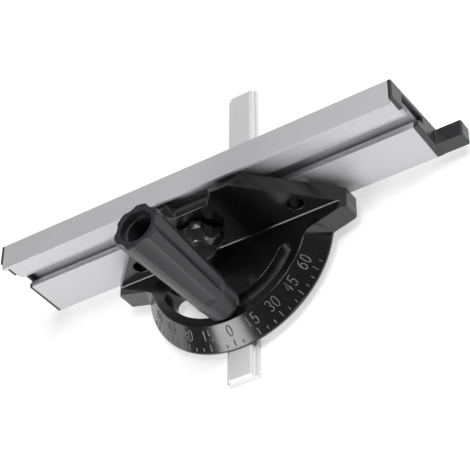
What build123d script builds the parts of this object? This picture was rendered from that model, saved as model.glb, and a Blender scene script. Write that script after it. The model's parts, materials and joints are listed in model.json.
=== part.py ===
from build123d import *
from math import atan2, cos, degrees, hypot, radians, sin, tan
import os

# Miter gauge. Origin: head pivot axis at table level, which is the top face of the guide bar.
# +Z up, +Y along the guide bar towards the work, +X along the fence to its stop block.
# All sizes in millimetres.

# Guide bar
bar_length = 266.7
bar_rear_reach = 103.0
bar_width = 19.0
bar_height = 7.5
bar_web_height = 3.2
bar_flange_overhang = 2.9
bar_chamfer = 1.0

# Protractor head: base plate
scale_radius = 78.6
scale_top_radius = 65.9
scale_foot = 1.5
base_height = 17.5
base_front_y = 18.9
ear_half_span = 97.0
ear_rear_y = -4.6
ear_rear_angle = 15.35
ear_corner_radius = 3.0
blend_foot_radius = 2.5
blend_top_radius = 14.0
slot_inset = 24.9
slot_width = 10.9
slot_half_angle = 63.0

# Protractor head: upright wall against the fence
wall_rear_y = 0.4
wall_thickness = 12.0
wall_top_rear = 73.0
wall_top_front = 67.4
wall_slope_end = 14.3
notch_floor = 63.4
notch_half_width = 13.3
notch_flare = 8.5
wall_hole_x = 65.6
wall_hole_z = 30.7
wall_hole_radius = 6.0
wall_boss_radius = 10.0
wall_foot_fillet = 1.5

# Protractor head: cored out underside and front
cast_skin = 4.0
cast_rib = 3.0
rib_pitch_angle = 20.0
pivot_boss_radius = 12.0
centre_pad_half_width = 16.0
seat_half_width = 45.0

# Fence extrusion, as a section in Y and Z
fence_length = 327.0
fence_shift = -1.0
fence_bottom = 1.0
fence_height = 70.2
fence_depth = 16.0
fence_lip_reach = 6.0
fence_lip_thickness = 2.4
fence_bulge_height = 55.0
fence_wall = 3.0
groove_floor_y = 25.4
groove_lip_outer = 36.6
groove_lip_flat = 2.7
groove_lip_inner = 35.2
groove_roof = 43.2
tee_back_wall = 4.0
tee_bottom = 30.0
tee_top = 52.4
chamber_split = 57.0

# Fence end caps
cap_thickness = 2.6
cap_plug_length = 8.0
cap_edge = 0.6
left_cap_cover_y = 26.0
left_cap_upper_bottom = 54.4
right_cap_upper_bottom = 57.0
right_cap_foot_thickness = 5.3
stop_block_reach = 24.8
stop_block_height = 11.8
stop_block_rear_inset = 0.4
stop_block_work_inset = 2.4
stop_block_edge = 0.8

# Clamp handle on its stud
handle_top = 124.5
handle_top_radius = 18.0
handle_foot_radius = 13.3
handle_foot_round = 3.8
foot_round_steps = 3
handle_rim_chamfer = 0.9
handle_mouth_radius = 12.5
handle_mouth_depth = 6.0
handle_bore_radius = 10.8
handle_web = 8.5
flute_count = 6
flute_radius = 11.0
flute_depth_top = 2.6
flute_depth_foot = 1.6
flute_start = 20.5
flute_ramp = 4.0
flute_angle = -12.0
clamp_washer_radius = 8.8
clamp_washer_thickness = 1.6
stud_radius = 4.0
stud_top = 42.0
stud_head_radius = 8.5
stud_head_height = 2.5
stud_neck_side = 8.0
stud_neck_height = 3.8
nut_across_flats = 13.0
nut_height = 6.5

# Pivot through the guide bar
pivot_screw_radius = 3.0
pivot_screw_depth = 12.5
pivot_head_radius = 6.0
pivot_head_height = 1.8
pivot_socket_flats = 4.0
pivot_socket_depth = 1.2
pivot_washer_radius = 8.5
pivot_washer_thickness = 1.2
pivot_bush_radius = 6.0
pivot_bush_depth = 4.0
pivot_recess = 3.2

# Star knob and the tee bolt it draws up
knob_axis_x = -7.8
knob_axis_z = 39.9
knob_lobes = 5
knob_radius = 17.6
knob_scallop_radius = 14.0
knob_scallop_depth = 3.8
knob_lobe_rear = 1.3
knob_lobe_thickness = 6.4
knob_lobe_angle = 65.0
knob_lobe_round = 0.8
knob_boss_radius = 8.5
knob_shoulder = 6.2
knob_hub_radius = 12.0
knob_hub_front_radius = 11.4
knob_hub_height = 7.7
knob_cap_radius = 9.0
knob_cap_thickness = 1.4
insert_radius = 5.0
insert_length = 10.0
tee_bolt_radius = 3.0
tee_bolt_reach = 9.5
tee_head_length = 17.0
tee_head_height = 16.8
tee_head_thickness = 4.2
tee_washer_radius = 7.5
tee_washer_thickness = 1.6

# Clearances
running_clearance = 0.05
free_clearance = 0.35
fit_clearance = 0.1

# Places that follow from the sizes above
slot_radius = scale_radius - slot_inset
bar_half = bar_width / 2
bar_front_y = bar_length - bar_rear_reach
wall_front_y = wall_rear_y + wall_thickness
wall_slope_sum = ear_half_span + wall_slope_end
wall_top_half = wall_slope_sum - wall_top_rear
fence_rear_y = base_front_y
fence_work_y = fence_rear_y + fence_depth
fence_lip_y = fence_rear_y - fence_lip_reach
fence_top = fence_bottom + fence_height
fence_left = fence_shift - fence_length / 2
fence_right = fence_shift + fence_length / 2
tee_back_y = fence_work_y - tee_back_wall
handle_bottom = base_height + clamp_washer_thickness
handle_axis = Pos(0, -slot_radius, 0)
knob_seat_y = wall_rear_y - tee_washer_thickness
knob_lobe_y = knob_seat_y - knob_lobe_rear
knob_hub_y = knob_lobe_y - knob_lobe_thickness
knob_front_y = knob_hub_y - knob_hub_height


def block(x, y, z):
    """Box between the low and high value of each pair."""
    size = Box(x[1] - x[0], y[1] - y[0], z[1] - z[0], align=(Align.MIN, Align.MIN, Align.MIN))
    return Pos(x[0], y[0], z[0]) * size


def along_x(face, x0, x1):
    """Extrude a face drawn in (Y, Z) from x0 to x1."""
    return extrude(Plane(origin=(x0, 0, 0), x_dir=(0, 1, 0), z_dir=(1, 0, 0)) * face, amount=x1 - x0)


def along_y(face, y0, y1):
    """Extrude a face drawn in (X, Z) from y0 to y1."""
    return extrude(Plane(origin=(0, y1, 0), x_dir=(1, 0, 0), z_dir=(0, -1, 0)) * face, amount=y1 - y0)


def along_z(face, z0, z1):
    """Extrude a face drawn in (X, Y) from z0 to z1."""
    return extrude(Pos(0, 0, z0) * face, amount=z1 - z0)


def polygon(points):
    """Flat face through the points in order."""
    return make_face(Polyline(*points, close=True))


def disc_z(radius, z0, z1):
    return along_z(Circle(radius), z0, z1)


def disc_y(radius, y0, y1):
    """Round bar along Y on the star knob's axis."""
    return along_y(Pos(knob_axis_x, knob_axis_z) * Circle(radius), y0, y1)


def turned(points, arc=360.0, start=0.0):
    """Body turned about Z from (radius, height) points."""
    profile = Plane.XZ * polygon(points)
    return Rot(0, 0, start) * revolve(profile, Axis.Z, revolution_arc=arc)


def one_solid(shape):
    """The single solid that a boolean result holds."""
    solids = shape.solids()
    if len(solids) != 1:
        raise ValueError(f"expected one solid, got {len(solids)}")
    return solids[0]


def guide_bar():
    """Tee-section bar with a counterbored pivot hole and a square hole for the stud."""
    flange = bar_half + bar_flange_overhang
    section = polygon([
        (-bar_half, 0), (bar_half, 0), (bar_half, -bar_web_height), (flange, -bar_web_height),
        (flange, -bar_height), (-flange, -bar_height), (-flange, -bar_web_height),
        (-bar_half, -bar_web_height),
    ])
    bar = along_y(section, -bar_rear_reach, bar_front_y)
    top_edges = bar.faces().sort_by(Axis.Z)[-1].edges()
    bar = chamfer(top_edges, bar_chamfer)
    bar -= disc_z(pivot_bush_radius + running_clearance, -bar_height, 0)
    bar -= disc_z(pivot_washer_radius + free_clearance, -bar_height, -bar_height + pivot_recess)
    stud_seat = -bar_height + stud_head_height + fit_clearance
    neck = stud_neck_side + 2 * fit_clearance
    bar -= handle_axis * disc_z(stud_head_radius + fit_clearance, -bar_height, stud_seat)
    bar -= handle_axis * along_z(Rectangle(neck, neck), stud_seat, 0)
    return one_solid(bar)


def ear_blend(disc_radius, blend_radius, z):
    """Face at a height that rounds the corner between the scale disc and the right ear."""
    angle = radians(ear_rear_angle)
    along = Vector(cos(angle), sin(angle))
    out = Vector(sin(angle), -cos(angle))
    reach = Vector(ear_half_span, ear_rear_y).dot(out) + blend_radius
    run = ((disc_radius + blend_radius) ** 2 - reach ** 2) ** 0.5
    centre = along * run + out * reach
    on_ear = centre - out * blend_radius
    on_disc = centre * (disc_radius / (disc_radius + blend_radius))
    towards = (on_ear + on_disc) * 0.5 - centre
    middle = centre + towards.normalized() * blend_radius
    inside = Vector(on_disc.X, 0)
    arc = ThreePointArc(on_ear, middle, on_disc)
    return Pos(0, 0, z) * make_face(arc + Polyline(on_disc, inside, on_ear))


def base_plate():
    """Base plate: bevelled scale disc, two ears and the hollow corners between them."""
    disc = turned([(0, 0), (scale_radius, 0), (scale_radius, scale_foot),
                   (scale_top_radius, base_height), (0, base_height)])
    disc &= block((-scale_radius, scale_radius), (-scale_radius, wall_front_y), (0, base_height))
    drop = (ear_half_span - slot_radius) * tan(radians(ear_rear_angle))
    ears = along_z(polygon([
        (-ear_half_span, wall_front_y), (ear_half_span, wall_front_y), (ear_half_span, ear_rear_y),
        (slot_radius, ear_rear_y - drop), (-slot_radius, ear_rear_y - drop),
        (-ear_half_span, ear_rear_y),
    ]), 0, base_height)
    corners = [e for e in ears.edges().filter_by(Axis.Z)
               if e.center().Y < 0 and abs(e.center().X) > slot_radius + ear_corner_radius]
    ears = fillet(corners, ear_corner_radius)
    foot = ear_blend(scale_radius, blend_foot_radius, scale_foot)
    top = ear_blend(scale_top_radius, blend_top_radius, base_height)
    blend = loft([foot, top], ruled=True) + extrude(foot, amount=-scale_foot)
    return disc + ears + blend + mirror(blend, Plane.YZ)


def upright_outline():
    """Front view of the head: a wall with edges that slope down to both ears."""
    return polygon([
        (-ear_half_span, 0), (ear_half_span, 0), (ear_half_span, wall_slope_end),
        (wall_top_half, wall_top_rear), (-wall_top_half, wall_top_rear),
        (-ear_half_span, wall_slope_end),
    ])


def sector(radius_in, radius_out, width_angle, mid_angle, height):
    """Ring sector under the base plate, cored from below."""
    points = [(radius_in, 0), (radius_out, 0), (radius_out, height), (radius_in, height)]
    return turned(points, width_angle, mid_angle - width_angle / 2)


def rim_pocket(mid_angle, width_angle):
    """Sector cored out under the scale band, parallel to its slope."""
    inner = slot_radius + slot_width / 2 + cast_skin
    slope = (scale_radius - scale_top_radius) / (base_height - scale_foot)
    height = base_height - cast_skin
    outer_foot = scale_radius - cast_skin
    outer_top = max(inner + 0.5, outer_foot - slope * height)
    points = [(inner, 0), (outer_foot, 0), (outer_top, height), (inner, height)]
    return turned(points, width_angle, mid_angle - width_angle / 2)


def underside_cores():
    """Pockets that leave a skin, the slot's walls and radial ribs."""
    cores = []
    roof = base_height - cast_skin
    inner_out = slot_radius - slot_width / 2 - cast_skin
    rib_angle_in = degrees(cast_rib / ((pivot_boss_radius + inner_out) / 2))
    rib_angle_out = degrees(cast_rib / scale_top_radius)
    count = int(2 * slot_half_angle // rib_pitch_angle)
    for i in range(count):
        mid = -90 + (i - (count - 1) / 2) * rib_pitch_angle
        cores.append(rim_pocket(mid, rib_pitch_angle - rib_angle_out))
        if i % 2 == 0 and i < count - 1:
            pair = mid + rib_pitch_angle / 2
            width = 2 * rib_pitch_angle - rib_angle_in
            cores.append(sector(pivot_boss_radius, inner_out, width, pair, roof))
    for side in (-1, 1):
        near = side * (pivot_boss_radius + cast_rib)
        far = side * (ear_half_span - cast_skin - cast_skin)
        x = (min(near, far), max(near, far))
        front = wall_front_y - cast_skin
        cores.append(block(x, (wall_rear_y + cast_skin, front), (0, roof - cast_skin)))
    return cores


def wall_cores():
    """Pockets in the face towards the fence, on both sides of each hole's boss."""
    cores = []
    depth_y = (wall_rear_y + cast_skin, wall_front_y)
    floor = base_height
    inner_x = centre_pad_half_width + cast_rib
    boss_in = wall_hole_x - wall_boss_radius
    slope_in = wall_slope_sum - 1.5 * cast_skin - floor - cast_skin
    top = wall_top_front - 2 * cast_skin
    for side in (-1, 1):
        points = [
            (side * inner_x, floor), (side * boss_in, floor),
            (side * boss_in, slope_in + floor - boss_in - cast_skin),
            (side * (slope_in + floor - top), top), (side * inner_x, top),
        ]
        cores.append(along_y(polygon(points), *depth_y))
    return cores


def protractor_head():
    """One casting: slotted base plate with a bevelled scale band, and the upright wall."""
    head = base_plate()
    upright = along_y(upright_outline(), wall_rear_y, wall_front_y)
    head += upright
    foot = [e for e in head.edges().filter_by(Axis.X)
            if abs(e.center().Z - base_height) < 0.01 and abs(e.center().Y - wall_rear_y) < 0.01]
    head = fillet(foot, wall_foot_fillet)
    head &= along_y(upright_outline(), -scale_radius - 1, base_front_y)
    rise = wall_top_rear - wall_top_front
    head -= along_x(polygon([
        (wall_rear_y, wall_top_rear), (wall_front_y, wall_top_front),
        (wall_front_y, wall_top_rear + rise), (wall_rear_y, wall_top_rear + rise),
    ]), -ear_half_span, ear_half_span)
    notch_top = wall_top_rear + 1
    flare = notch_flare * (notch_top - notch_floor) / (wall_top_rear - notch_floor)
    head -= along_y(polygon([
        (-notch_half_width, notch_floor), (notch_half_width, notch_floor),
        (notch_half_width + flare, notch_top), (-notch_half_width - flare, notch_top),
    ]), wall_rear_y - 1, wall_front_y + 1)
    slot_arc = CenterArc((0, 0), slot_radius, -90 - slot_half_angle, 2 * slot_half_angle)
    head -= along_z(SlotArc(slot_arc, slot_width), 0, base_height)
    for core in underside_cores() + wall_cores():
        head -= core
    head += block((-seat_half_width, seat_half_width), (wall_front_y, base_front_y), (0, base_height))
    pad_top = groove_lip_outer - cast_rib
    head += block((-centre_pad_half_width, centre_pad_half_width), (wall_front_y, fence_rear_y),
                  (base_height, pad_top))
    for side in (-1, 1):
        boss = Pos(side * wall_hole_x, wall_hole_z) * Circle(wall_boss_radius)
        hole = Pos(side * wall_hole_x, wall_hole_z) * Circle(wall_hole_radius)
        head += along_y(boss, wall_rear_y + cast_skin, wall_front_y)
        head -= along_y(hole, wall_rear_y - 1, fence_rear_y + 1)
    head -= disc_y(tee_bolt_radius + free_clearance, wall_rear_y - 1, fence_rear_y + 1)
    head -= disc_z(pivot_bush_radius + fit_clearance, 0, pivot_bush_depth)
    head -= disc_z(pivot_screw_radius + running_clearance, 0, pivot_screw_depth + 1)
    return one_solid(head)


def fence_section():
    """Section of the extrusion: lip, upper chamber, rounded bulge, tee slot, lower chamber."""
    bulge_start = (fence_rear_y, fence_bulge_height)
    bulge_end = (groove_floor_y, groove_roof)
    outline = Polyline(
        bulge_end, (groove_floor_y, tee_top), (tee_back_y, tee_top), (tee_back_y, tee_bottom),
        (groove_floor_y, tee_bottom), (groove_floor_y, groove_lip_inner),
        (fence_rear_y + groove_lip_flat, groove_lip_outer), (fence_rear_y, groove_lip_outer),
        (fence_rear_y, fence_bottom), (fence_work_y, fence_bottom),
        (fence_work_y, fence_top), (fence_lip_y, fence_top),
        (fence_lip_y, fence_top - fence_lip_thickness),
        (fence_rear_y, fence_top - fence_lip_thickness), bulge_start)
    bulge = TangentArc(bulge_start, bulge_end, tangent=(0, -1))
    section = make_face(outline + bulge)
    return section - upper_chamber(0) - lower_chamber(0)


def chamber(y0, y1, z0, z1, gap):
    return Pos((y0 + y1) / 2, (z0 + z1) / 2) * Rectangle(y1 - y0 - 2 * gap, z1 - z0 - 2 * gap)


def upper_chamber(gap):
    """Closed hollow above the tee slot, shrunk by a gap for the cap's plug."""
    return chamber(fence_rear_y + fence_wall, fence_work_y - fence_wall,
                   chamber_split, fence_top - fence_wall, gap)


def lower_chamber(gap):
    """Closed hollow below the tee slot, shrunk by a gap for the cap's plug."""
    return chamber(fence_rear_y + fence_wall, fence_work_y - fence_wall,
                   fence_bottom + fence_wall, tee_bottom - fence_wall, gap)


def fence_profile():
    return one_solid(along_x(fence_section(), fence_left, fence_right))


def cap_outline(cover_y, upper_bottom):
    """End view of a cap: it follows the section and leaves the tee slot's mouth open."""
    return polygon([
        (fence_work_y, fence_bottom), (fence_work_y, fence_top), (fence_rear_y, fence_top),
        (fence_rear_y, upper_bottom), (cover_y, upper_bottom), (cover_y, tee_bottom),
        (groove_floor_y, tee_bottom), (groove_floor_y, groove_lip_inner),
        (fence_rear_y + groove_lip_flat, groove_lip_outer), (fence_rear_y, groove_lip_outer),
        (fence_rear_y, fence_bottom),
    ])


def fence_cap(outline, side, foot_thickness):
    """Moulded cap: plate, softened outer edge and two plugs in the chambers."""
    end = fence_right if side > 0 else fence_left
    foot = end + side * foot_thickness
    plate = along_x(outline, min(end, foot), max(end, foot))
    plate &= along_y(polygon([
        (end, fence_bottom), (foot, fence_bottom), (end + side * cap_thickness, fence_top),
        (end, fence_top),
    ]), fence_rear_y, fence_work_y)
    rim = plate.faces().sort_by(Axis.X)[-1 if side > 0 else 0].edges()
    cap = chamfer(rim, cap_edge)
    inner = end - side * cap_plug_length
    for hollow in (upper_chamber(fit_clearance), lower_chamber(fit_clearance)):
        cap += along_x(hollow, min(end, inner), max(end, inner))
    return cap


def fence_cap_left():
    outline = cap_outline(left_cap_cover_y, left_cap_upper_bottom)
    return one_solid(fence_cap(outline, -1, cap_thickness))


def fence_cap_right():
    """The right cap leans out to its foot, where the stop block reaches past the fence's end."""
    stop = block((fence_right + cap_thickness, fence_right + stop_block_reach),
                 (fence_rear_y + stop_block_rear_inset, fence_work_y - stop_block_work_inset),
                 (fence_bottom, fence_bottom + stop_block_height))
    outer = stop.faces().sort_by(Axis.X)[-1].edges()
    stop = chamfer(outer, stop_block_edge)
    outline = cap_outline(tee_back_y, right_cap_upper_bottom)
    return one_solid(fence_cap(outline, 1, right_cap_foot_thickness) + stop)


def handle_surface(height):
    """Radius of the handle's ridges at a height above its foot."""
    span = handle_top - handle_bottom
    return handle_foot_radius + (handle_top_radius - handle_foot_radius) * height / span


def flute():
    """Cutter for one lengthwise flute: it leans out with the handle's taper and ends in a ramp."""
    length = handle_top - handle_bottom
    foot = handle_surface(flute_start) - flute_depth_foot + flute_radius
    top = handle_surface(length) - flute_depth_top + flute_radius
    run = length - flute_start
    lean = degrees(atan2(top - foot, run))
    reach = hypot(top - foot, run) + flute_radius
    ramp = along_y(polygon([
        (-flute_radius, flute_ramp), (2 * flute_depth_foot - flute_radius, -flute_ramp),
        (flute_radius, -flute_ramp), (flute_radius, reach), (-flute_radius, reach),
    ]), -flute_radius, flute_radius)
    cutter = disc_z(flute_radius, -flute_ramp, reach) & ramp
    return Pos(foot, 0, handle_bottom + flute_start) * Rot(0, lean, 0) * cutter


def handle_section():
    """Half section of the grip: foot rounded in short steps, straight taper, chamfered rim."""
    points = [(0, handle_bottom)]
    corner = handle_surface(handle_foot_round) - handle_foot_round
    for i in range(foot_round_steps + 1):
        turn = radians(90 * i / foot_round_steps)
        points.append((corner + handle_foot_round * sin(turn),
                       handle_bottom + handle_foot_round * (1 - cos(turn))))
    rim = handle_top - handle_rim_chamfer
    points += [(handle_surface(rim - handle_bottom), rim),
               (handle_top_radius - handle_rim_chamfer, handle_top), (0, handle_top)]
    return points


def clamp_handle():
    """Hollow fluted grip with a rounded foot and a hexagon pocket over the stud."""
    body = turned(handle_section())
    for i in range(flute_count):
        body -= Rot(0, 0, flute_angle + i * 360 / flute_count) * flute()
    pocket = handle_bottom + handle_web
    ledge = handle_top - handle_mouth_depth
    body -= disc_z(handle_bore_radius, pocket + nut_height, ledge)
    body -= disc_z(handle_mouth_radius, ledge, handle_top)
    hexagon = RegularPolygon(nut_across_flats / 2 + fit_clearance, 6, major_radius=False)
    body -= along_z(hexagon, pocket, pocket + nut_height)
    body -= disc_z(stud_radius + free_clearance, handle_bottom, pocket)
    return one_solid(handle_axis * body)


def handle_nut():
    """Hexagon nut held in the foot of the handle."""
    z0 = handle_bottom + handle_web
    nut = along_z(RegularPolygon(nut_across_flats / 2, 6, major_radius=False), z0, z0 + nut_height)
    nut -= disc_z(stud_radius + running_clearance, z0, z0 + nut_height)
    return one_solid(handle_axis * nut)


def clamp_washer():
    """Washer that bridges the arc slot under the handle."""
    washer = disc_z(clamp_washer_radius, base_height, handle_bottom)
    washer -= disc_z(stud_radius + free_clearance, base_height, handle_bottom)
    return one_solid(handle_axis * washer)


def clamp_stud():
    """Square-necked bolt set in the guide bar from below."""
    seat = -bar_height + stud_head_height + fit_clearance
    head_low = seat - stud_head_height
    stud = disc_z(stud_head_radius, head_low, seat)
    stud += along_z(Rectangle(stud_neck_side, stud_neck_side), seat, seat + stud_neck_height)
    stud += disc_z(stud_radius, seat, stud_top)
    return one_solid(handle_axis * stud)


def pivot_bush():
    """Steel sleeve let into the head, on which it turns in the guide bar."""
    low = -bar_height + pivot_recess
    bush = disc_z(pivot_bush_radius, low, pivot_bush_depth)
    bush -= disc_z(pivot_screw_radius + running_clearance, low, pivot_bush_depth)
    return one_solid(bush)


def pivot_washer():
    seat = -bar_height + pivot_recess
    low = seat - pivot_washer_thickness
    washer = disc_z(pivot_washer_radius, low, seat)
    washer -= disc_z(pivot_screw_radius + running_clearance, low, seat)
    return one_solid(washer)


def pivot_screw():
    """Low-head socket screw driven up into the head."""
    seat = -bar_height + pivot_recess - pivot_washer_thickness
    low = seat - pivot_head_height
    screw = disc_z(pivot_head_radius, low, seat) + disc_z(pivot_screw_radius, seat, pivot_screw_depth)
    socket = RegularPolygon(pivot_socket_flats / 2, 6, major_radius=False)
    screw -= along_z(socket, low, low + pivot_socket_depth)
    return one_solid(screw)


def knob_outline():
    """Front view of the lobes: a disc with a scallop between each pair."""
    outline = Circle(knob_radius)
    offset = knob_radius - knob_scallop_depth + knob_scallop_radius
    for i in range(knob_lobes):
        scallop = Pos(offset, 0) * Circle(knob_scallop_radius)
        outline -= Rot(0, 0, i * 360 / knob_lobes) * scallop
    outline = fillet(outline.vertices(), knob_lobe_round)
    return Rot(0, 0, knob_lobe_angle + 180 / knob_lobes) * outline


def star_knob():
    """Lobed knob with a raised hub, bored for its insert and recessed for its cap."""
    shoulder_y = knob_hub_y - knob_shoulder
    profile = Plane.XY * polygon([
        (0, knob_seat_y), (knob_boss_radius, knob_seat_y), (knob_boss_radius, knob_lobe_y),
        (knob_radius, knob_lobe_y), (knob_radius, knob_hub_y), (knob_hub_radius, shoulder_y),
        (knob_hub_front_radius, knob_front_y), (0, knob_front_y),
    ])
    lobes = along_y(knob_outline(), knob_front_y, knob_seat_y)
    knob = Pos(knob_axis_x, 0, knob_axis_z) * (lobes & revolve(profile, Axis.Y))
    knob -= disc_y(insert_radius + fit_clearance, knob_seat_y - insert_length, knob_seat_y)
    recess = knob_front_y + knob_cap_thickness
    knob -= disc_y(knob_cap_radius + fit_clearance, knob_front_y, recess)
    return one_solid(knob)


def star_knob_insert():
    """Threaded brass sleeve in the back of the knob."""
    insert = disc_y(insert_radius, knob_seat_y - insert_length, knob_seat_y)
    insert -= disc_y(tee_bolt_radius + running_clearance, knob_seat_y - insert_length, knob_seat_y)
    return one_solid(insert)


def star_knob_cap():
    """Plain disc that closes the hub's front."""
    return one_solid(disc_y(knob_cap_radius, knob_front_y, knob_front_y + knob_cap_thickness))


def tee_bolt():
    """Square-headed bolt in the fence's tee slot, through the wall to the star knob."""
    half = tee_head_height / 2
    bolt = block((knob_axis_x - tee_head_length / 2, knob_axis_x + tee_head_length / 2),
                 (groove_floor_y, groove_floor_y + tee_head_thickness),
                 (knob_axis_z - half, knob_axis_z + half))
    bolt += disc_y(tee_bolt_radius, wall_rear_y - tee_bolt_reach, groove_floor_y)
    return one_solid(bolt)


def tee_washer():
    washer = disc_y(tee_washer_radius, knob_seat_y, wall_rear_y)
    washer -= disc_y(tee_bolt_radius + free_clearance, knob_seat_y, wall_rear_y)
    return one_solid(washer)


PIECES = {
    "guide_bar": guide_bar,
    "protractor_head": protractor_head,
    "pivot_bush": pivot_bush,
    "pivot_washer": pivot_washer,
    "pivot_screw": pivot_screw,
    "fence_profile": fence_profile,
    "fence_cap_left": fence_cap_left,
    "fence_cap_right": fence_cap_right,
    "clamp_stud": clamp_stud,
    "clamp_washer": clamp_washer,
    "clamp_handle": clamp_handle,
    "handle_nut": handle_nut,
    "tee_bolt": tee_bolt,
    "tee_washer": tee_washer,
    "star_knob": star_knob,
    "star_knob_insert": star_knob_insert,
    "star_knob_cap": star_knob_cap,
}

os.makedirs("parts", exist_ok=True)
for name, build in PIECES.items():
    piece = build()
    piece.label = name
    export_step(piece, f"parts/{name}.step")
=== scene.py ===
import json
from math import cos, hypot, pi, radians, sin

import bpy
from mathutils import Matrix, Vector


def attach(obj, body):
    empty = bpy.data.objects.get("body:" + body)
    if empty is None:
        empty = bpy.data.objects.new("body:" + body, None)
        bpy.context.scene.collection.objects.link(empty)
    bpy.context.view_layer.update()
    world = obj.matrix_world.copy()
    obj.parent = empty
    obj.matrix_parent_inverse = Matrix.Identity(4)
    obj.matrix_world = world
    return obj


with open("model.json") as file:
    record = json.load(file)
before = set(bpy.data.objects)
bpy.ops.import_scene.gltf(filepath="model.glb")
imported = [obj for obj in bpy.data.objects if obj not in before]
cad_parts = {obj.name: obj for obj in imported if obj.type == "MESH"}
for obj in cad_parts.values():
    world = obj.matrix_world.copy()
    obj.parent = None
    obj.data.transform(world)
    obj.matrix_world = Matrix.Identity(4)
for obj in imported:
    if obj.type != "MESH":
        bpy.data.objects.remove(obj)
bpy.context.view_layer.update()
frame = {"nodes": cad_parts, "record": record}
nodes = frame["nodes"]

# Scale band on the head, in metres in the part's own frame
SCALE_FOOT_RADIUS = 0.0786
SCALE_FOOT_Z = 0.0015
SCALE_TOP_RADIUS = 0.0659
SCALE_TOP_Z = 0.0175
SLANT = hypot(SCALE_FOOT_RADIUS - SCALE_TOP_RADIUS, SCALE_TOP_Z - SCALE_FOOT_Z)

# Raised marks: half-round ridges, turned a little off the bar's axis
SCALE_SHIFT = radians(-0.7)
STROKE_WIDTH = 0.0009
STROKE_RAISE = 0.0005
STROKE_SINK = 0.0003
STROKE_STEPS = 6
ARC_STEP = 30

# Ticks every five degrees, longer at every number's step
TICK_STEP = 5
TICK_LAST = 65
TICK_FOOT = 0.0018
SHORT_TICK = 0.0027
LONG_TICK = 0.0049

# Numbers every fifteen degrees
NUMBER_STEP = 15
NUMBER_LAST = 60
NUMBER_MIDDLE = 0.0135
DIGIT_HEIGHT = 0.0082
DIGIT_WIDTH = 0.0034
DIGIT_PITCH = 0.0054

# Finishes: noise between these values is spread over the whole range of roughness
NOISE_LOW = 0.3
NOISE_HIGH = 0.7
NOISE_DETAIL = 3.0
BUMP_DISTANCE = 0.0001
EDGE_SAMPLES = 6

FINISHES = {
    "bar_steel": dict(
        colour=(0.86, 0.86, 0.87), metallic=0.3, roughness=(0.28, 0.4),
        grain=900, bump=0.05, edge=0.0004, stretch=(1, 0.03, 1)),
    "head_black": dict(
        colour=(0.004, 0.004, 0.0045), metallic=0.0, roughness=(0.17, 0.23),
        grain=700, bump=0.06, edge=0.001, specular=0.8),
    # Scale marks: the head's own black, lightened to 0.1 as a painted highlight for the glints
    # the raised ridges catch
    "head_marks_painted_highlight": dict(
        colour=(0.1, 0.1, 0.105), metallic=0.0, roughness=(0.2, 0.26),
        grain=700, bump=0.02, edge=0.0001, specular=0.9),
    "fence_aluminium": dict(
        colour=(0.63, 0.63, 0.645), metallic=0.35, roughness=(0.34, 0.46),
        grain=1200, bump=0.06, edge=0.0005, stretch=(0.02, 1, 1)),
    "cap_plastic": dict(
        colour=(0.013, 0.013, 0.015), metallic=0.0, roughness=(0.32, 0.42),
        grain=1500, bump=0.15, edge=0.0009, specular=0.75),
    "handle_plastic": dict(
        colour=(0.028, 0.028, 0.031), metallic=0.0, roughness=(0.26, 0.34),
        grain=1800, bump=0.1, edge=0.0008, specular=0.45),
    "knob_plastic": dict(
        colour=(0.008, 0.008, 0.009), metallic=0.0, roughness=(0.2, 0.26),
        grain=900, bump=0.05, edge=0.001, specular=1.0),
    "zinc_steel": dict(
        colour=(0.5, 0.51, 0.53), metallic=0.9, roughness=(0.28, 0.4),
        grain=1400, bump=0.05, edge=0.0003),
    "insert_brass": dict(
        colour=(0.65, 0.5, 0.22), metallic=1.0, roughness=(0.25, 0.35),
        grain=1400, bump=0.04, edge=0.0002),
}

# Floor at the bar's underside
FLOOR_Z = -0.0075
FLOOR_HALF = 6.0
FLOOR_GLOW = 0.55
FLOOR_SHADE = 0.65
FLOOR_BOUNCE = 0.8

# Lights: place and size in metres, power in watts
LIGHTS = {
    "key_light": dict(place=(-0.8, -1.4, 0.56), width=0.85, height=1.0, power=17),
    "fill_light": dict(place=(1.1, -1.3, 0.25), width=0.6, height=0.4, power=2.5),
    "left_light": dict(place=(-1.75, 0.1, 0.36), width=1.1, height=0.75, power=4),
    "top_light": dict(place=(0.3, 0.1, 1.8), width=0.6, height=0.6, power=12),
    "edge_light": dict(place=(1.05, 0.43, 1.26), width=0.5, height=0.5, power=8),
    "back_light": dict(place=(0.5, 1.1, 1.15), width=0.6, height=0.6, power=5),
}
STUDIO_WHITE = (1, 1, 1, 1)
STUDIO_STRENGTH = 0.12

# Camera fitted to the photo
CAMERA_PLACE = Vector((0.4986, -0.7071, 0.7644))
CAMERA_RIGHT = Vector((0.8365, 0.0027, -0.5479))
CAMERA_UP = Vector((0.3402, 0.7813, 0.5233))
CAMERA_FORWARD = Vector((-0.4295, 0.6242, -0.6526))
CAMERA_LENS = 122.48
CAMERA_SENSOR = 36.0
CAMERA_REACH = 20


def new_material(name):
    """Empty node material: the material, its node tree and its output."""
    material = bpy.data.materials.new(name)
    material.use_nodes = True
    tree = material.node_tree
    tree.nodes.clear()
    output = tree.nodes.new("ShaderNodeOutputMaterial")
    return material, tree, output


def object_coordinates(tree, scale):
    """Object coordinates stretched by a scale, for textures that keep to the piece."""
    place = tree.nodes.new("ShaderNodeTexCoord")
    mapping = tree.nodes.new("ShaderNodeMapping")
    mapping.inputs["Scale"].default_value = scale
    tree.links.new(place.outputs["Object"], mapping.inputs["Vector"])
    return mapping.outputs["Vector"]


def noise(tree, vector, scale):
    """Noise value over a vector."""
    node = tree.nodes.new("ShaderNodeTexNoise")
    node.inputs["Scale"].default_value = scale
    node.inputs["Detail"].default_value = NOISE_DETAIL
    tree.links.new(vector, node.inputs["Vector"])
    return node.outputs["Fac"]


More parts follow.
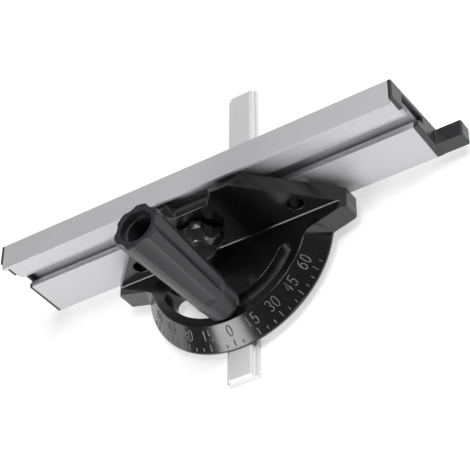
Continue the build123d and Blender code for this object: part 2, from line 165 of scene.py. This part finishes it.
def spread(tree, value, low, high):
    """Noise value turned into a range."""
    node = tree.nodes.new("ShaderNodeMapRange")
    node.inputs["From Min"].default_value = NOISE_LOW
    node.inputs["From Max"].default_value = NOISE_HIGH
    node.inputs["To Min"].default_value = low
    node.inputs["To Max"].default_value = high
    tree.links.new(value, node.inputs["Value"])
    return node.outputs["Result"]


def finish_material(name, colour, metallic, roughness, grain, bump, edge,
                    stretch=(1, 1, 1), specular=0.5):
    """Principled finish with noise in its roughness, fine bumps and softened edges."""
    material, tree, output = new_material(name)
    shader = tree.nodes.new("ShaderNodeBsdfPrincipled")
    shader.inputs["Base Color"].default_value = (*colour, 1)
    shader.inputs["Metallic"].default_value = metallic
    shader.inputs["Specular IOR Level"].default_value = specular
    value = noise(tree, object_coordinates(tree, stretch), grain)
    tree.links.new(spread(tree, value, *roughness), shader.inputs["Roughness"])
    rounded = tree.nodes.new("ShaderNodeBevel")
    rounded.samples = EDGE_SAMPLES
    rounded.inputs["Radius"].default_value = edge
    bumps = tree.nodes.new("ShaderNodeBump")
    bumps.inputs["Strength"].default_value = bump
    bumps.inputs["Distance"].default_value = BUMP_DISTANCE
    tree.links.new(value, bumps.inputs["Height"])
    tree.links.new(rounded.outputs["Normal"], bumps.inputs["Normal"])
    tree.links.new(bumps.outputs["Normal"], shader.inputs["Normal"])
    tree.links.new(shader.outputs["BSDF"], output.inputs["Surface"])
    return material


def on_scale(angle, along, up, out):
    """Point on the scale band: angle from its middle, then how far round, up and out of it."""
    share = up / SLANT
    radius = SCALE_FOOT_RADIUS + (SCALE_TOP_RADIUS - SCALE_FOOT_RADIUS) * share
    turn = angle + SCALE_SHIFT - pi / 2 + along / radius
    lift = (SCALE_TOP_Z - SCALE_FOOT_Z) / SLANT
    lean = (SCALE_FOOT_RADIUS - SCALE_TOP_RADIUS) / SLANT
    radius += out * lift
    height = SCALE_FOOT_Z + (SCALE_TOP_Z - SCALE_FOOT_Z) * share + out * lean
    return Vector((radius * cos(turn), radius * sin(turn), height))


def arc(x, y, half_width, half_height, first, last):
    """Points of an arc, in shares of a digit's width and height from its middle."""
    count = round(abs(last - first) / ARC_STEP)
    turns = [radians(first + (last - first) * i / count) for i in range(count + 1)]
    return [(x + half_width * cos(turn), y + half_height * sin(turn)) for turn in turns]


DIGITS = {
    "0": [arc(0, 0, 0.5, 0.5, 90, 450)],
    "1": [[(-0.3, 0.25), (0, 0.5), (0, -0.5)]],
    "3": [arc(0, 0.25, 0.5, 0.25, 150, -90), arc(0, -0.25, 0.5, 0.25, 90, -150)],
    "4": [[(0.2, -0.5), (0.2, 0.5), (-0.5, -0.2), (0.5, -0.2)]],
    "5": [[(0.45, 0.5), (-0.4, 0.5)], [(-0.4, 0.5), (-0.4, 0.05)],
          arc(0, -0.18, 0.5, 0.32, 150, -150)],
    "6": [arc(0.4, -0.15, 0.9, 0.65, 90, 180), arc(0, -0.18, 0.5, 0.32, 0, 360)],
}


def ridge_ring(before, here, after):
    """Half-round section across a stroke at one of its points, as (along, up, out)."""
    leaning = (Vector(after) - Vector(before)).normalized()
    across = Vector((-leaning.y, leaning.x))
    half = STROKE_WIDTH / 2
    ring = [(here[0] + across.x * half, here[1] + across.y * half, -STROKE_SINK)]
    for i in range(STROKE_STEPS + 1):
        turn = pi * i / STROKE_STEPS
        side = half * cos(turn)
        out = STROKE_RAISE * sin(turn)
        ring.append((here[0] + across.x * side, here[1] + across.y * side, out))
    ring.append((here[0] - across.x * half, here[1] - across.y * half, -STROKE_SINK))
    return ring


def raised_mark(name, angle, strokes):
    """Ridges along strokes, given in metres from a foot point on the scale band."""
    points = []
    faces = []
    for stroke in strokes:
        first = len(points)
        for i, here in enumerate(stroke):
            before = stroke[max(i - 1, 0)]
            after = stroke[min(i + 1, len(stroke) - 1)]
            ring = ridge_ring(before, here, after)
            points.extend(on_scale(angle, *place) for place in ring)
        size = len(ring)
        for i in range(len(stroke) - 1):
            for j in range(size):
                low = first + i * size
                step = (j + 1) % size
                faces.append([low + j, low + step, low + size + step, low + size + j])
        last = first + (len(stroke) - 1) * size
        faces.append([first + j for j in reversed(range(size))])
        faces.append([last + j for j in range(size)])
    mesh = bpy.data.meshes.new(name)
    mesh.from_pydata(points, [], faces)
    mesh.update()
    piece = bpy.data.objects.new(name, mesh)
    bpy.context.scene.collection.objects.link(piece)
    # Marks get the black finish lightened by a painted highlight
    mesh.materials.append(materials["head_marks_painted_highlight"])
    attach(piece, "head")


def digit_strokes(digit, shift):
    """Strokes of one digit in metres, moved along the band."""
    return [[(shift + x * DIGIT_WIDTH, NUMBER_MIDDLE + y * DIGIT_HEIGHT) for x, y in stroke]
            for stroke in DIGITS[digit]]


def side_name(kind, degree):
    """Name of a mark, with its side of the scale's middle and its angle."""
    side = "left" if degree < 0 else "right"
    return f"{kind}_{side}_{abs(degree)}"


def floor_finish():
    """Near white with a faint shadow for the camera and in reflections, plain for other rays."""
    material, tree, output = new_material("floor")
    shaded = tree.nodes.new("ShaderNodeBsdfDiffuse")
    shaded.inputs["Color"].default_value = (FLOOR_SHADE, FLOOR_SHADE, FLOOR_SHADE, 1)
    glow = tree.nodes.new("ShaderNodeEmission")
    glow.inputs["Strength"].default_value = FLOOR_GLOW
    seen = tree.nodes.new("ShaderNodeAddShader")
    tree.links.new(shaded.outputs["BSDF"], seen.inputs[0])
    tree.links.new(glow.outputs["Emission"], seen.inputs[1])
    bounced = tree.nodes.new("ShaderNodeBsdfDiffuse")
    bounced.inputs["Color"].default_value = (FLOOR_BOUNCE, FLOOR_BOUNCE, FLOOR_BOUNCE, 1)
    path = tree.nodes.new("ShaderNodeLightPath")
    straight = tree.nodes.new("ShaderNodeMath")
    straight.operation = "ADD"
    tree.links.new(path.outputs["Is Camera Ray"], straight.inputs[0])
    tree.links.new(path.outputs["Is Glossy Ray"], straight.inputs[1])
    clear = tree.nodes.new("ShaderNodeMath")
    clear.operation = "ADD"
    clear.use_clamp = True
    tree.links.new(straight.outputs["Value"], clear.inputs[0])
    tree.links.new(path.outputs["Is Transmission Ray"], clear.inputs[1])
    mix = tree.nodes.new("ShaderNodeMixShader")
    tree.links.new(clear.outputs["Value"], mix.inputs["Fac"])
    tree.links.new(bounced.outputs["BSDF"], mix.inputs[1])
    tree.links.new(seen.outputs["Shader"], mix.inputs[2])
    tree.links.new(mix.outputs["Shader"], output.inputs["Surface"])
    return material


def softbox(name, place, width, height, power):
    """Rectangular light that faces the object."""
    light = bpy.data.lights.new(name, "AREA")
    light.shape = "RECTANGLE"
    light.size = width
    light.size_y = height
    light.energy = power
    lamp = bpy.data.objects.new(name, light)
    bpy.context.scene.collection.objects.link(lamp)
    lamp.location = place
    lamp.rotation_euler = (-Vector(place)).to_track_quat("-Z", "Y").to_euler()


# Finishes on the CAD's own pieces
materials = {name: finish_material(name, **finish) for name, finish in FINISHES.items()}
slots = {part["node"]: part["material_slot"] for part in frame["record"]["subparts"]}
for name, node in nodes.items():
    node.data.materials.clear()
    node.data.materials.append(materials[slots[name]])

# Ticks and numbers on the scale
for degree in range(-TICK_LAST, TICK_LAST + 1, TICK_STEP):
    length = LONG_TICK if degree % NUMBER_STEP == 0 else SHORT_TICK
    tick = [(0, TICK_FOOT), (0, TICK_FOOT + length)]
    raised_mark(side_name("scale_tick", degree), radians(degree), [tick])

for degree in range(-NUMBER_LAST, NUMBER_LAST + 1, NUMBER_STEP):
    text = str(abs(degree))
    strokes = []
    for i, digit in enumerate(text):
        strokes += digit_strokes(digit, (i - (len(text) - 1) / 2) * DIGIT_PITCH)
    raised_mark(side_name("scale_number", degree), radians(degree), strokes)

# Floor
floor_mesh = bpy.data.meshes.new("floor")
floor_mesh.from_pydata(
    [(-FLOOR_HALF, -FLOOR_HALF, FLOOR_Z), (FLOOR_HALF, -FLOOR_HALF, FLOOR_Z),
     (FLOOR_HALF, FLOOR_HALF, FLOOR_Z), (-FLOOR_HALF, FLOOR_HALF, FLOOR_Z)],
    [], [(0, 1, 2, 3)])
floor_mesh.materials.append(floor_finish())
floor = bpy.data.objects.new("floor", floor_mesh)
bpy.context.scene.collection.objects.link(floor)

# Lights
for name, light in LIGHTS.items():
    softbox(name, **light)

world = bpy.data.worlds.new("studio")
world.use_nodes = True
background = world.node_tree.nodes["Background"]
background.inputs["Color"].default_value = STUDIO_WHITE
background.inputs["Strength"].default_value = STUDIO_STRENGTH
bpy.context.scene.world = world

# Camera
scene = bpy.context.scene
lens = bpy.data.cameras.new("camera")
lens.sensor_width = CAMERA_SENSOR
lens.sensor_height = CAMERA_SENSOR
lens.lens = CAMERA_LENS
lens.clip_end = CAMERA_REACH
camera = bpy.data.objects.new("camera", lens)
scene.collection.objects.link(camera)
turn = Matrix((CAMERA_RIGHT, CAMERA_UP, -CAMERA_FORWARD)).transposed().to_4x4()
camera.matrix_world = Matrix.Translation(CAMERA_PLACE) @ turn
scene.camera = camera
scene.view_settings.view_transform = "Standard"
